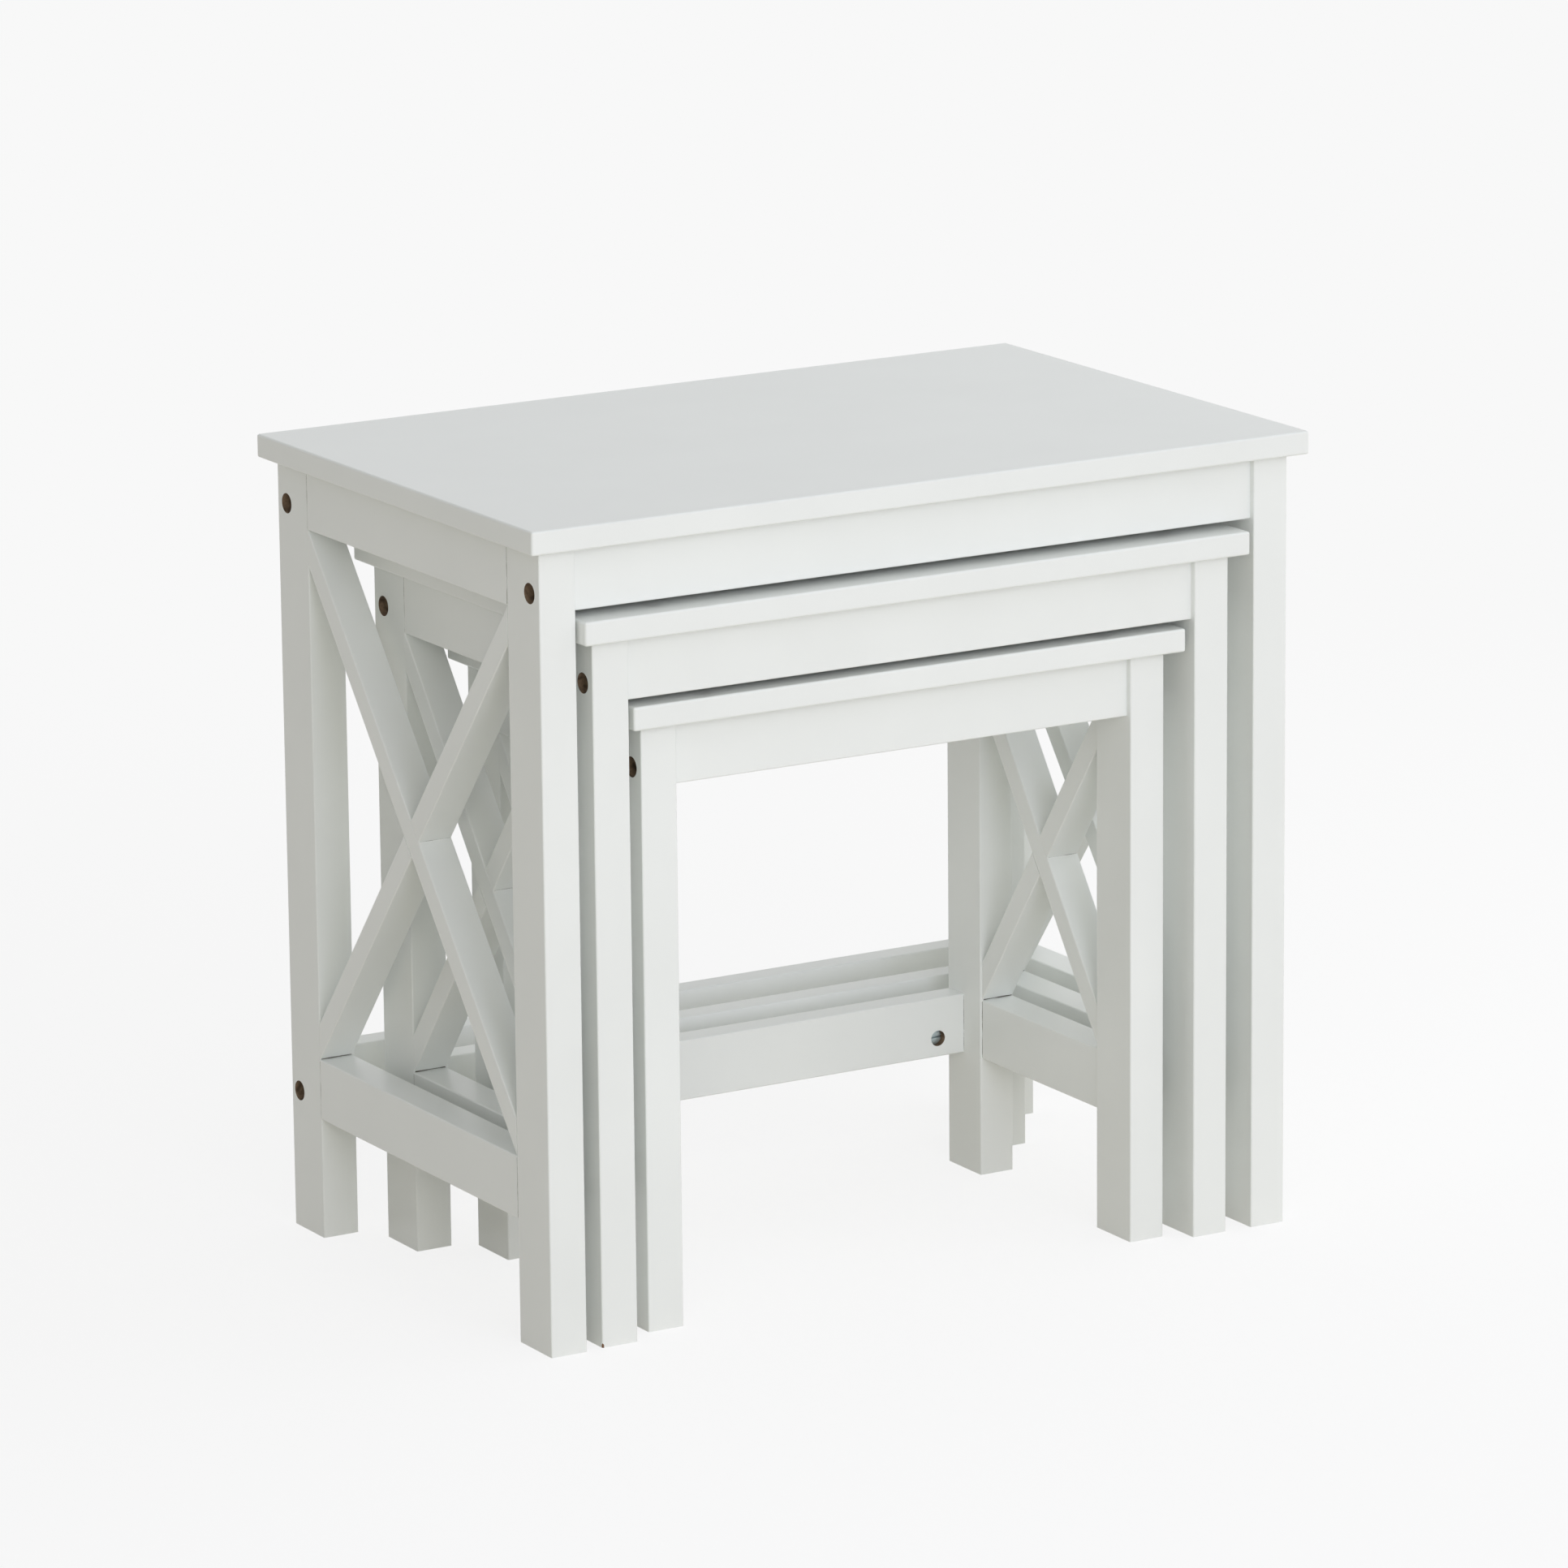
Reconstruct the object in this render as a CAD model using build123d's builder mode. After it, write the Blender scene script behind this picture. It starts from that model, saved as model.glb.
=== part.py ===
from build123d import *
from math import asin, atan2, cos, hypot, tan
from typing import NamedTuple
import os

# Nest of three side tables with crossed side frames.
# Millimetres, +Z up, front towards -Y, origin on the floor under the middle of the large top.
os.makedirs("parts", exist_ok=True)

# Large table, measured over its top
large_length = 560.0
large_depth = 358.0
large_height = 520.0

# How each smaller table stands inside the next one: its gaps, and how far back its legs start
nest_side_gap = 5.0
nest_near_gap = 1.5
nest_top_gap = 5.0
nest_depth_step = 60.0
middle_setback = 1.3
small_setback = 12.5

# Top board
top_thickness = 15.0
end_overhang = 10.0
front_overhang = 10.0
rear_overhang = 8.0
top_edge_radius = 1.5

# Legs, wider from front to back than along the table
leg_width = 25.0
leg_depth = 40.0
edge_radius = 1.0

# Side frames: two rails and a cross of braces, flush with the outside of the legs
side_bar_thickness = 23.5
rail_height = 40.0
lower_rail_clear = 79.0
brace_width = 15.0
brace_foot_gap = 0.7
long_edge_count = 4

# Bars along the table: front and rear apron under the top, low stretcher at the back
apron_height = 40.0
apron_thickness = 15.0
apron_setback = 4.5
stretcher_height = 40.0
stretcher_thickness = 18.0
stretcher_setback = 1.5

# Bolts through the legs into barrel nuts, their heads sunk in wide holes in the outside of the legs
bolt_rise = 12.5
bolt_diameter = 6.0
bolt_hole_diameter = 7.0
bolt_head_diameter = 10.0
bolt_head_height = 5.0
bolt_socket_across_flats = 5.0
bolt_socket_depth = 3.0
bolt_tail = 8.0
bolt_point = 0.8
bolt_hole_spare = 2.0
sunk_hole_diameter = 13.0
sunk_hole_depth = 15.0
nut_diameter = 10.0
nut_length = 10.0
nut_inset = 20.0
nut_clearance = 0.25
nut_thread_clearance = 0.05
nut_slot_width = 1.6
nut_slot_depth = 2.0

# Glued dowels: one above each bolt, and two in each end of a side rail
dowel_diameter = 8.0
dowel_in_bar = 19.0
dowel_rise = 27.5
rail_dowel_edge = 10.0
dowel_leg_wall = 9.0
dowel_bolt_wall = 5.0
dowel_clearance = 0.1
dowel_end_gap = 1.0
dowel_chamfer = 1.0

# Screws up through the aprons and the upper rails into the top
screw_diameter = 4.0
screw_head_diameter = 8.0
screw_head_height = 2.5
screw_point = 1.5
screw_hole_diameter = 9.0
screw_clearance = 0.05
screw_grip = 20.0
screw_top_cover = 5.0
screw_end_gap = 1.0
apron_screw_inset = 60.0
rail_screw_inset = 40.0

# Bolt axes, in the middle of the bars, measured in from the front or rear face of a leg
apron_bolt_in = apron_setback + apron_thickness / 2
stretcher_bolt_in = stretcher_setback + stretcher_thickness / 2
deepest_sunk_hole = max(apron_bolt_in, stretcher_bolt_in) + sunk_hole_diameter / 2

# Sizes that follow from the pieces they join
bolt_length = leg_width - sunk_hole_depth + nut_inset + bolt_tail
bar_dowel_in_leg = leg_width - dowel_leg_wall
rail_dowel_in_leg = leg_depth - deepest_sunk_hole - dowel_bolt_wall
dowel_hole_radius = dowel_diameter / 2 + dowel_clearance
screw_bore_radius = screw_diameter / 2 + screw_clearance
screw_in_top = top_thickness - screw_top_cover - screw_end_gap
lower_rail_top = lower_rail_clear + rail_height

LEFT, RIGHT = -1, 1
FRONT, REAR = -1, 1
SIDES = {"left": LEFT, "right": RIGHT}
ENDS = {"front": FRONT, "rear": REAR}


class CrossBar(NamedTuple):
    """A bar along the table, bolted between two legs; its nuts go in at its front or its rear face."""

    node: str
    low_y: float
    thickness: float
    low_z: float
    height: float
    nut_face: int
    bolt_y: float


class Table:
    """One table of the nest: its outer sizes, where it stands, and the faces that its pieces meet."""

    def __init__(self, name, length, depth, height, centre_x, leg_front):
        self.name = name
        self.length = length
        self.depth = depth
        self.height = height
        self.centre_x = centre_x
        self.leg_front = leg_front
        self.leg_rear = leg_front + depth - front_overhang - rear_overhang
        self.under_top = height - top_thickness
        self.half_outside = length / 2 - end_overhang
        self.half_inside = self.half_outside - leg_width
        self.rail_ends = {FRONT: leg_front + leg_depth, REAR: self.leg_rear - leg_depth}
        self.rail_lows = {"upper": self.under_top - rail_height, "lower": lower_rail_clear}
        self.apron_low = self.under_top - apron_height

    def nested(self, name, setback, centre_x):
        """The next smaller table, standing inside this one."""
        length = 2 * (self.half_inside - nest_side_gap)
        depth = self.depth - nest_depth_step
        height = self.apron_low - nest_top_gap
        return Table(name, length, depth, height, centre_x, self.leg_front + setback)

    def outside(self, side):
        """X of the outer face of the legs on one side."""
        return self.centre_x + side * self.half_outside

    def inside(self, side):
        """X of the face of the legs that the aprons and the stretcher meet."""
        return self.centre_x + side * self.half_inside

    def side_bar_middle(self, side):
        """X of the middle of the rails and braces on one side."""
        return self.outside(side) - side * side_bar_thickness / 2

    def cross_bars(self):
        """The two aprons and the low stretcher."""
        front_y = self.leg_front + apron_setback
        rear_y = self.leg_rear - apron_setback - apron_thickness
        low_y = self.leg_rear - stretcher_setback - stretcher_thickness
        front_bolt = self.leg_front + apron_bolt_in
        rear_bolt = self.leg_rear - apron_bolt_in
        low_bolt = self.leg_rear - stretcher_bolt_in
        apron = (apron_thickness, self.apron_low, apron_height)
        stretcher = (stretcher_thickness, lower_rail_clear, stretcher_height)
        return [
            CrossBar("front_apron", front_y, *apron, REAR, front_bolt),
            CrossBar("rear_apron", rear_y, *apron, FRONT, rear_bolt),
            CrossBar("rear_stretcher", low_y, *stretcher, FRONT, low_bolt),
        ]

    def aprons(self):
        """The bars that carry the top."""
        return self.cross_bars()[:2]


def save(piece, table, node):
    """Label a finished piece with its table and write it to its own file."""
    name = f"{table.name}_{node}"
    piece.part.label = name
    export_step(piece.part, f"parts/{name}.step")


def planes_along_x(places, x, direction):
    """Planes at one X, facing along X, at each Y and Z."""
    return [Plane(origin=(x, y, z), z_dir=(direction, 0, 0)) for y, z in places]


def bolt_axes(table):
    """Y and Z of the bolt axes on each side."""
    return [(bar.bolt_y, bar.low_z + bolt_rise) for bar in table.cross_bars()]


def bar_dowel_axes(table):
    """Y and Z of the dowels in the ends of the aprons and the stretcher."""
    return [(bar.bolt_y, bar.low_z + dowel_rise) for bar in table.cross_bars()]


def rail_dowel_heights(low_z):
    """Z of the two dowels at each end of a side rail."""
    return [low_z + rail_dowel_edge, low_z + rail_height - rail_dowel_edge]


def apron_screw_places(table, apron):
    """X and Y of the screws through one apron."""
    return [(table.inside(side) - side * apron_screw_inset, apron.bolt_y) for side in SIDES.values()]


def rail_screw_places(table, side):
    """X and Y of the screws through one upper side rail."""
    x = table.side_bar_middle(side)
    return [(x, table.rail_ends[end] - end * rail_screw_inset) for end in ENDS.values()]


def screw_places(table):
    """X and Y of every screw into the top."""
    places = []
    for apron in table.aprons():
        places += apron_screw_places(table, apron)
    for side in SIDES.values():
        places += rail_screw_places(table, side)
    return places


def drill_screw_holes(places, low_z, height):
    """Sunk screw holes up through the bar that is being built."""
    with Locations(*[Plane(origin=(x, y, low_z), z_dir=(0, 0, -1)) for x, y in places]):
        CounterBoreHole(screw_bore_radius, screw_hole_diameter / 2, height - screw_grip, depth=height)


def make_top(table):
    """Top board with eased edges and blind screw holes underneath."""
    front = table.leg_front - front_overhang
    with BuildPart() as top:
        with BuildSketch(Plane.XY.offset(table.under_top)):
            with Locations((table.centre_x, front + table.depth / 2)):
                Rectangle(table.length, table.depth)
        extrude(amount=top_thickness)
        fillet(top.edges(), top_edge_radius)
        places = screw_places(table)
        with Locations(*[Plane(origin=(x, y, table.under_top), z_dir=(0, 0, -1)) for x, y in places]):
            Hole(screw_bore_radius, depth=screw_in_top + screw_end_gap)
    save(top, table, "top")


def make_leg(table, end_name, side_name):
    """One leg, with sunk bolt holes in its outer face and dowel holes in its inner faces."""
    end, side = ENDS[end_name], SIDES[side_name]
    inner_y = table.rail_ends[end]
    middle_y = inner_y + end * leg_depth / 2
    middle_x = table.outside(side) - side * leg_width / 2

    def in_this_leg(places):
        return [(y, z) for y, z in places if abs(y - middle_y) < leg_depth / 2]

    with BuildPart() as leg:
        with BuildSketch():
            with Locations((middle_x, middle_y)):
                Rectangle(leg_width, leg_depth)
            fillet(vertices(), edge_radius)
        extrude(amount=table.under_top)
        with Locations(*planes_along_x(in_this_leg(bolt_axes(table)), table.outside(side), side)):
            CounterBoreHole(
                bolt_hole_diameter / 2, sunk_hole_diameter / 2, sunk_hole_depth, depth=leg_width
            )
        with Locations(*planes_along_x(in_this_leg(bar_dowel_axes(table)), table.inside(side), -side)):
            Hole(dowel_hole_radius, depth=bar_dowel_in_leg + dowel_end_gap)
        heights = [z for low_z in table.rail_lows.values() for z in rail_dowel_heights(low_z)]
        rail_x = table.side_bar_middle(side)
        with Locations(*[Plane(origin=(rail_x, inner_y, z), z_dir=(0, -end, 0)) for z in heights]):
            Hole(dowel_hole_radius, depth=rail_dowel_in_leg + dowel_end_gap)
    save(leg, table, f"{end_name}_{side_name}_leg")


def make_rail(table, level, side_name):
    """One side rail between a front and a rear leg; the upper one is screwed to the top."""
    side = SIDES[side_name]
    low_z = table.rail_lows[level]
    x = table.side_bar_middle(side)
    middle_z = low_z + rail_height / 2
    rear = Plane(origin=(x, table.rail_ends[REAR], middle_z), x_dir=(1, 0, 0), z_dir=(0, -1, 0))
    with BuildPart() as rail:
        with BuildSketch(rear):
            Rectangle(side_bar_thickness, rail_height)
            free_corners = vertices() if level == "lower" else vertices().group_by(Axis.Y)[0]
            fillet(free_corners, edge_radius)
        extrude(amount=table.rail_ends[REAR] - table.rail_ends[FRONT])
        ends = [
            Plane(origin=(x, table.rail_ends[end], z), z_dir=(0, end, 0))
            for end in ENDS.values()
            for z in rail_dowel_heights(low_z)
        ]
        with Locations(*ends):
            Hole(dowel_hole_radius, depth=dowel_in_bar + dowel_end_gap)
        if level == "upper":
            drill_screw_holes(rail_screw_places(table, side), low_z, rail_height)
    save(rail, table, f"{side_name}_{level}_rail")


def brace_outline(table, high_end):
    """Y and Z corners of a brace: upright cuts at the legs, its foot trimmed just above the lower rail."""
    high_y, low_y = table.rail_ends[high_end], table.rail_ends[-high_end]
    high_z, low_z = table.rail_lows["upper"], lower_rail_top
    run, rise = abs(high_y - low_y), high_z - low_z
    slope = atan2(rise, run) - asin(brace_width / hypot(rise, run))
    cut = brace_width / cos(slope)
    foot_z = low_z + brace_foot_gap
    foot_y = low_y + high_end * brace_foot_gap / tan(slope)
    return [
        (high_y, high_z),
        (high_y, high_z - cut),
        (foot_y, foot_z),
        (low_y, foot_z),
        (low_y, low_z + cut),
    ]


def make_long_brace(table, side_name):
    """The unbroken brace of the cross, from the top of the rear leg down to the front leg."""
    low_x = table.side_bar_middle(SIDES[side_name]) - side_bar_thickness / 2
    with BuildPart() as brace:
        with BuildSketch(Plane(origin=(low_x, 0, 0), x_dir=(0, 1, 0), z_dir=(1, 0, 0))):
            with BuildLine():
                Polyline(*brace_outline(table, REAR), close=True)
            make_face()
        extrude(amount=side_bar_thickness)
        fillet(brace.edges().sort_by(SortBy.LENGTH)[-long_edge_count:], edge_radius)
    save(brace, table, f"{side_name}_long_brace")


def make_short_braces(table, side_name):
    """The two half braces that butt against the long one from above and below."""
    low_x = table.side_bar_middle(SIDES[side_name]) - side_bar_thickness / 2
    frame_plane = Plane(origin=(low_x, 0, 0), x_dir=(0, 1, 0), z_dir=(1, 0, 0))
    with BuildPart() as braces:
        with BuildSketch(frame_plane):
            with BuildLine():
                Polyline(*brace_outline(table, FRONT), close=True)
            make_face()
        extrude(amount=side_bar_thickness)
        fillet(braces.edges().sort_by(SortBy.LENGTH)[-long_edge_count:], edge_radius)
        with BuildSketch(frame_plane):
            with BuildLine():
                Polyline(*brace_outline(table, REAR), close=True)
            make_face()
        extrude(amount=side_bar_thickness, mode=Mode.SUBTRACT)
    save(braces, table, f"{side_name}_short_braces")


def make_cross_bar(table, bar):
    """An apron or the stretcher, bored at both ends for a bolt, its barrel nut and a dowel."""
    middle_y = bar.low_y + bar.thickness / 2
    nut_face_y = middle_y + bar.nut_face * bar.thickness / 2
    bolt_z = bar.low_z + bolt_rise
    dowel_z = bar.low_z + dowel_rise
    middle = (table.inside(LEFT), middle_y, bar.low_z + bar.height / 2)
    section = Plane(origin=middle, x_dir=(0, 1, 0), z_dir=(1, 0, 0))
    carries_top = bar in table.aprons()
    with BuildPart() as cross_bar:
        with BuildSketch(section):
            Rectangle(bar.thickness, bar.height)
            fillet(vertices().group_by(Axis.Y)[0] if carries_top else vertices(), edge_radius)
        extrude(amount=2 * table.half_inside)
        for side in SIDES.values():
            end_x = table.inside(side)
            with Locations(Plane(origin=(end_x, bar.bolt_y, bolt_z), z_dir=(side, 0, 0))):
                Hole(bolt_hole_diameter / 2, depth=nut_inset + bolt_tail + bolt_hole_spare)
            with Locations(Plane(origin=(end_x, bar.bolt_y, dowel_z), z_dir=(side, 0, 0))):
                Hole(dowel_hole_radius, depth=dowel_in_bar + dowel_end_gap)
            nut_x = end_x - side * nut_inset
            nut_hole_depth = abs(nut_face_y - bar.bolt_y) + nut_length / 2 + nut_clearance
            with Locations(Plane(origin=(nut_x, nut_face_y, bolt_z), z_dir=(0, bar.nut_face, 0))):
                Hole(nut_diameter / 2 + nut_clearance, depth=nut_hole_depth)
        if carries_top:
            drill_screw_holes(apron_screw_places(table, bar), bar.low_z, bar.height)
    save(cross_bar, table, bar.node)


# One socket-head bolt, its axis along Z from the outer face of a leg
with BuildPart() as bolt:
    with Locations((0, 0, -sunk_hole_depth)):
        Cylinder(bolt_head_diameter / 2, bolt_head_height, align=(Align.CENTER, Align.CENTER, Align.MIN))
        Cylinder(bolt_diameter / 2, bolt_length, align=(Align.CENTER, Align.CENTER, Align.MAX))
    with BuildSketch(Plane.XY.offset(bolt_head_height - sunk_hole_depth)):
        RegularPolygon(bolt_socket_across_flats / 2, side_count=6, major_radius=False)
    extrude(amount=-bolt_socket_depth, mode=Mode.SUBTRACT)
    chamfer(bolt.edges().filter_by(GeomType.CIRCLE).sort_by(Axis.Z)[0], bolt_point)

# One barrel nut about its own middle, its slotted end up and its threaded hole along X
with BuildPart() as nut:
    Cylinder(nut_diameter / 2, nut_length)
    with Locations(Plane(origin=(nut_diameter / 2, 0, 0), z_dir=(1, 0, 0))):
        Hole(bolt_diameter / 2 + nut_thread_clearance, depth=nut_diameter)
    with BuildSketch(Plane.XY.offset(nut_length / 2)):
        Rectangle(nut_diameter, nut_slot_width)
    extrude(amount=-nut_slot_depth, mode=Mode.SUBTRACT)

# One screw, its axis along Z from the seat of its head
with BuildPart() as screw:
    Cylinder(screw_head_diameter / 2, screw_head_height, align=(Align.CENTER, Align.CENTER, Align.MAX))
    Cylinder(
        screw_diameter / 2, screw_grip + screw_in_top, align=(Align.CENTER, Align.CENTER, Align.MIN)
    )
    chamfer(screw.edges().filter_by(GeomType.CIRCLE).sort_by(Axis.Z)[-1], screw_point)

# One dowel of an apron or stretcher, its axis along Z from the joint into the leg
with BuildPart() as bar_dowel:
    with Locations((0, 0, -dowel_in_bar)):
        Cylinder(
            dowel_diameter / 2,
            dowel_in_bar + bar_dowel_in_leg,
            align=(Align.CENTER, Align.CENTER, Align.MIN),
        )
    chamfer(bar_dowel.edges().filter_by(GeomType.CIRCLE), dowel_chamfer)

# One dowel of a side rail, placed in the same way
with BuildPart() as rail_dowel:
    with Locations((0, 0, -dowel_in_bar)):
        Cylinder(
            dowel_diameter / 2,
            dowel_in_bar + rail_dowel_in_leg,
            align=(Align.CENTER, Align.CENTER, Align.MIN),
        )
    chamfer(rail_dowel.edges().filter_by(GeomType.CIRCLE), dowel_chamfer)


def make_bolts(table):
    """The six bolts of a table."""
    with BuildPart() as bolts:
        for side in SIDES.values():
            with Locations(*planes_along_x(bolt_axes(table), table.outside(side), side)):
                add(bolt.part)
    save(bolts, table, "bolts")


def make_barrel_nuts(table):
    """The six barrel nuts, each crossed by the end of its bolt."""
    with BuildPart() as barrel_nuts:
        for side in SIDES.values():
            x = table.inside(side) - side * nut_inset
            for bar in table.cross_bars():
                centre = (x, bar.bolt_y, bar.low_z + bolt_rise)
                with Locations(Plane(origin=centre, x_dir=(1, 0, 0), z_dir=(0, bar.nut_face, 0))):
                    add(nut.part)
    save(barrel_nuts, table, "barrel_nuts")


def make_dowels(table):
    """The dowels of the aprons, the stretcher and the side rails."""
    heights = [z for low_z in table.rail_lows.values() for z in rail_dowel_heights(low_z)]
    with BuildPart() as dowels:
        for side in SIDES.values():
            with Locations(*planes_along_x(bar_dowel_axes(table), table.inside(side), side)):
                add(bar_dowel.part)
            x = table.side_bar_middle(side)
            for end in ENDS.values():
                y = table.rail_ends[end]
                with Locations(*[Plane(origin=(x, y, z), z_dir=(0, end, 0)) for z in heights]):
                    add(rail_dowel.part)
    save(dowels, table, "dowels")


def make_top_screws(table):
    """The screws that hold the top down."""
    seat = table.under_top - screw_grip
    with BuildPart() as top_screws:
        with Locations(*[(x, y, seat) for x, y in screw_places(table)]):
            add(screw.part)
    save(top_screws, table, "top_screws")


large = Table("large", large_length, large_depth, large_height, 0.0, front_overhang - large_depth / 2)
off_centre = nest_near_gap - nest_side_gap
middle = large.nested("middle", middle_setback, off_centre)
small = middle.nested("small", small_setback, off_centre)

for table in (large, middle, small):
    make_top(table)
    for side_name in SIDES:
        for end_name in ENDS:
            make_leg(table, end_name, side_name)
        for level in ("upper", "lower"):
            make_rail(table, level, side_name)
        make_long_brace(table, side_name)
        make_short_braces(table, side_name)
    for bar in table.cross_bars():
        make_cross_bar(table, bar)
    make_bolts(table)
    make_barrel_nuts(table)
    make_dowels(table)
    make_top_screws(table)
    print(table.name, "top", table.length, "x", table.depth, "at", table.height)
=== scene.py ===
# %% [markdown]
# # A nest of three white side tables
#
# Three tables of the same make stand one inside the other. Each has a board for its top, two side
# frames with a cross of thin braces, aprons under the top and a stretcher low at the back, all
# sprayed in satin white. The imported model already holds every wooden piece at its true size, so this
# lesson keeps those meshes as they are. What is left for Blender is what the eye reads: the lacquer,
# the raw wood in the drilled holes, the hardware, the open joints and the light.

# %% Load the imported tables
from math import asin, atan2, cos, hypot, pi, radians, sin

import bpy
from mathutils import Matrix, Vector


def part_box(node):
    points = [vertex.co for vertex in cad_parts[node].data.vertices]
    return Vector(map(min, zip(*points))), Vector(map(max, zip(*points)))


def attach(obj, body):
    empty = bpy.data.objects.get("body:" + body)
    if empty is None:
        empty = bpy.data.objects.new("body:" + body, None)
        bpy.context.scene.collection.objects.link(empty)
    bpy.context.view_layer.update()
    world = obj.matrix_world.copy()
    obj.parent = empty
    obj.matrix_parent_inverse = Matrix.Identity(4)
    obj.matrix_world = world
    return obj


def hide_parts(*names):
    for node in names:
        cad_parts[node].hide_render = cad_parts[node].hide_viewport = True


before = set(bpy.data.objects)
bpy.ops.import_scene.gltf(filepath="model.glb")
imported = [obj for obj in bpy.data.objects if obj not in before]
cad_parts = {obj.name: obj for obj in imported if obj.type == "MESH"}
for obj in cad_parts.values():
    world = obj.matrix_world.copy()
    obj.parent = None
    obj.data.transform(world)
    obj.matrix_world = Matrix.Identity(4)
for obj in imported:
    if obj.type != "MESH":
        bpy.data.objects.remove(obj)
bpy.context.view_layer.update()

# %% [markdown]
# ## Colours and nodes
#
# Paint charts give colours as sRGB, while Blender's shaders add up light, which is linear. One function
# does that change for every colour in the lesson. Node trees could be drawn by hand in the editor. Here
# a single function adds a node, sets it up and links it, so each material reads from top to bottom.

# %% Colour and node helpers
MM = 0.001


def linear(hex_colour):
    """An sRGB hex colour as the linear colour and alpha that a shader socket takes."""
    channels = [int(hex_colour[start:start + 2], 16) / 255 for start in (1, 3, 5)]
    return [c / 12.92 if c <= 0.04045 else ((c + 0.055) / 1.055) ** 2.4 for c in channels] + [1.0]


def add_node(tree, kind, feeds=None, **settings):
    """Add a node, set its properties, and feed its inputs with values or with other nodes' outputs."""
    made = tree.nodes.new(kind)
    for name, value in settings.items():
        setattr(made, name, value)
    for name, value in (feeds or {}).items():
        if isinstance(value, bpy.types.NodeSocket):
            tree.links.new(value, made.inputs[name])
        else:
            made.inputs[name].default_value = value
    return made


def new_finish(name):
    """A material with an empty node tree."""
    finish = bpy.data.materials.new(name)
    finish.use_nodes = True
    finish.node_tree.nodes.clear()
    return finish, finish.node_tree


print("white is", [round(c, 3) for c in linear("#ffffff")])

# %% [markdown]
# ## Satin white lacquer
#
# The wood is primed, sanded and sprayed with a catalysed white lacquer. No grain shows through. The eye
# gets an even, faintly cool white with a soft sheen: a spray coat dries with a fine orange peel, about
# 2 mm from crest to crest, and lies a little thicker in some places than in others. A flat colour would
# look like plastic film, so the colour and the sheen drift slowly over some 90 mm, and two layers of bump
# break up the reflections: the peel, and the slower waviness that sanding leaves.
#
# Paint also chips where a foot has been knocked. The middle table has such a chip at its front left foot.
# It could be cut into the mesh, but a chip is only as deep as the paint, so a mask in the material, drawn
# around the corner of that foot and roughened with noise, is enough.

# %% Sprayed satin lacquer
CLOUD_WIDTH = 90 * MM
PEEL_WIDTH = 2.2 * MM
PEEL_DEPTH = 0.012 * MM
WAVE_WIDTH = 28 * MM
WAVE_DEPTH = 0.03 * MM
LACQUER_IOR = 1.5
LACQUER_ROUGHNESS = (0.3, 0.38)
chip_corner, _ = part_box("middle_front_left_leg")
CHIP_STRETCH = (1.0, 1.0, 0.32)
CHIP_RADIUS = 1.05 * MM
CHIP_RAGGED = 0.9 * MM
CHIP_ROUGHNESS = 0.85

satin_lacquer, tree = new_finish("sprayed_satin_white_lacquer")
where = add_node(tree, "ShaderNodeTexCoord").outputs["Object"]
cloud = add_node(tree, "ShaderNodeTexNoise", {"Vector": where, "Scale": 1 / CLOUD_WIDTH, "Detail": 2.0})
peel = add_node(tree, "ShaderNodeTexNoise", {"Vector": where, "Scale": 1 / PEEL_WIDTH, "Detail": 1.0})
wave = add_node(tree, "ShaderNodeTexNoise", {"Vector": where, "Scale": 1 / WAVE_WIDTH, "Detail": 1.0})
white = add_node(
    tree,
    "ShaderNodeMix",
    {0: cloud.outputs["Fac"], 6: linear("#ebeeec"), 7: linear("#f3f6f4")},
    data_type="RGBA",
).outputs[2]

from_corner = add_node(tree, "ShaderNodeVectorMath", {0: where, 1: chip_corner}, operation="SUBTRACT")
squeezed = add_node(
    tree, "ShaderNodeVectorMath", {0: from_corner.outputs[0], 1: CHIP_STRETCH}, operation="MULTIPLY"
)
reach = add_node(tree, "ShaderNodeVectorMath", {0: squeezed.outputs[0]}, operation="LENGTH")
ragged = add_node(
    tree,
    "ShaderNodeMath",
    {0: peel.outputs["Fac"], 1: CHIP_RAGGED, 2: reach.outputs["Value"]},
    operation="MULTIPLY_ADD",
)
chipped = add_node(
    tree,
    "ShaderNodeMath",
    {0: ragged.outputs[0], 1: CHIP_RADIUS + CHIP_RAGGED / 2},
    operation="LESS_THAN",
).outputs[0]
colour = add_node(
    tree, "ShaderNodeMix", {0: chipped, 6: white, 7: linear("#7a5a44")}, data_type="RGBA"
).outputs[2]
sheen = add_node(
    tree,
    "ShaderNodeMapRange",
    {"Value": cloud.outputs["Fac"], "To Min": LACQUER_ROUGHNESS[0], "To Max": LACQUER_ROUGHNESS[1]},
)
gloss = add_node(tree, "ShaderNodeMix", {0: chipped, 2: sheen.outputs[0], 3: CHIP_ROUGHNESS}).outputs[0]
waves = add_node(tree, "ShaderNodeBump", {"Height": wave.outputs["Fac"], "Distance": WAVE_DEPTH})
bumps = add_node(
    tree,
    "ShaderNodeBump",
    {"Height": peel.outputs["Fac"], "Distance": PEEL_DEPTH, "Normal": waves.outputs[0]},
)
surface = add_node(
    tree,
    "ShaderNodeBsdfPrincipled",
    {"Base Color": colour, "Roughness": gloss, "Normal": bumps.outputs[0], "IOR": LACQUER_IOR},
)
add_node(tree, "ShaderNodeOutputMaterial", {"Surface": surface.outputs[0]})
print("lacquer peel of", round(PEEL_WIDTH / MM, 1), "mm, chip at", [round(c, 4) for c in chip_corner])

# %% [markdown]
# ## Bare wood in the drilled holes
#
# The holes for bolts, nuts and screws are drilled after spraying, so their walls are raw. A drill leaves
# torn fibres: brown, quite without sheen, with darker burnt rings and pale specks less than a millimetre
# across. Noise at two scales gives the fibres and the scorching.

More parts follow.
